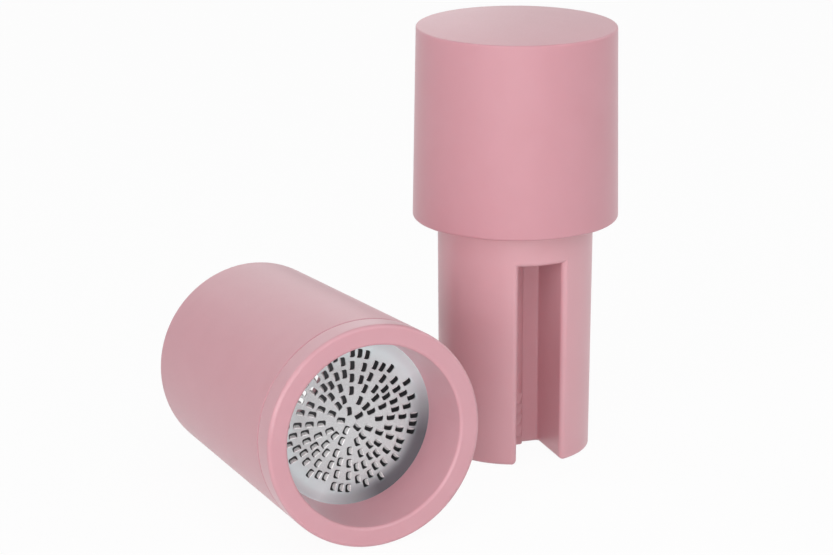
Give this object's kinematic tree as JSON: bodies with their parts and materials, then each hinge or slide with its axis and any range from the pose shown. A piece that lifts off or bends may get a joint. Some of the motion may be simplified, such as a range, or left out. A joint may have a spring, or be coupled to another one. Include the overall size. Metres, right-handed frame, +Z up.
{
  "type": "nutmeg grater",
  "caption": "Twist-action nutmeg mill, taken apart: a slotted spice holder with a domed cap stands beside a tapered sleeve whose end ring holds a domed steel grater disc.",
  "frame": {"origin": "centre of the flat foot of the spice holder, where its axis meets the surface it stands on", "axes": "+Z up along the holder's axis; the lying sleeve is parallel to Y in plan, with its grater end towards -Y and its mouth towards +Y; the sleeve lies on the -X side of the holder"},
  "size_m": [0.1234, 0.0869, 0.1165],
  "materials": {
    "soft_touch_plastic": "soft-touch matte pink",
    "holder_plastic": "matte pink moulding",
    "liner_plastic": "matte charcoal moulding",
    "glide_plastic": "plain off-white",
    "grater_steel": "satin stainless steel"
  },
  "bodies": {
    "sleeve": {"sleeve_shell": "soft_touch_plastic", "guide_tube": "liner_plastic", "base_ring": "soft_touch_plastic", "grater_disc": "grater_steel"},
    "glide": {"glide_ring": "glide_plastic"},
    "holder": {"spice_holder": "holder_plastic", "cap_shell": "soft_touch_plastic"}
  },
  "joints": [
    {"name": "holder_lift", "type": "slide", "parent": "sleeve", "child": "glide", "axis": [0, 0, 1], "range_m": [0, 0.064]},
    {"name": "holder_twist", "type": "hinge", "parent": "glide", "child": "holder", "pos_m": [0, 0, 0.065], "axis": [0, 0, 1], "continuous": true}
  ]
}
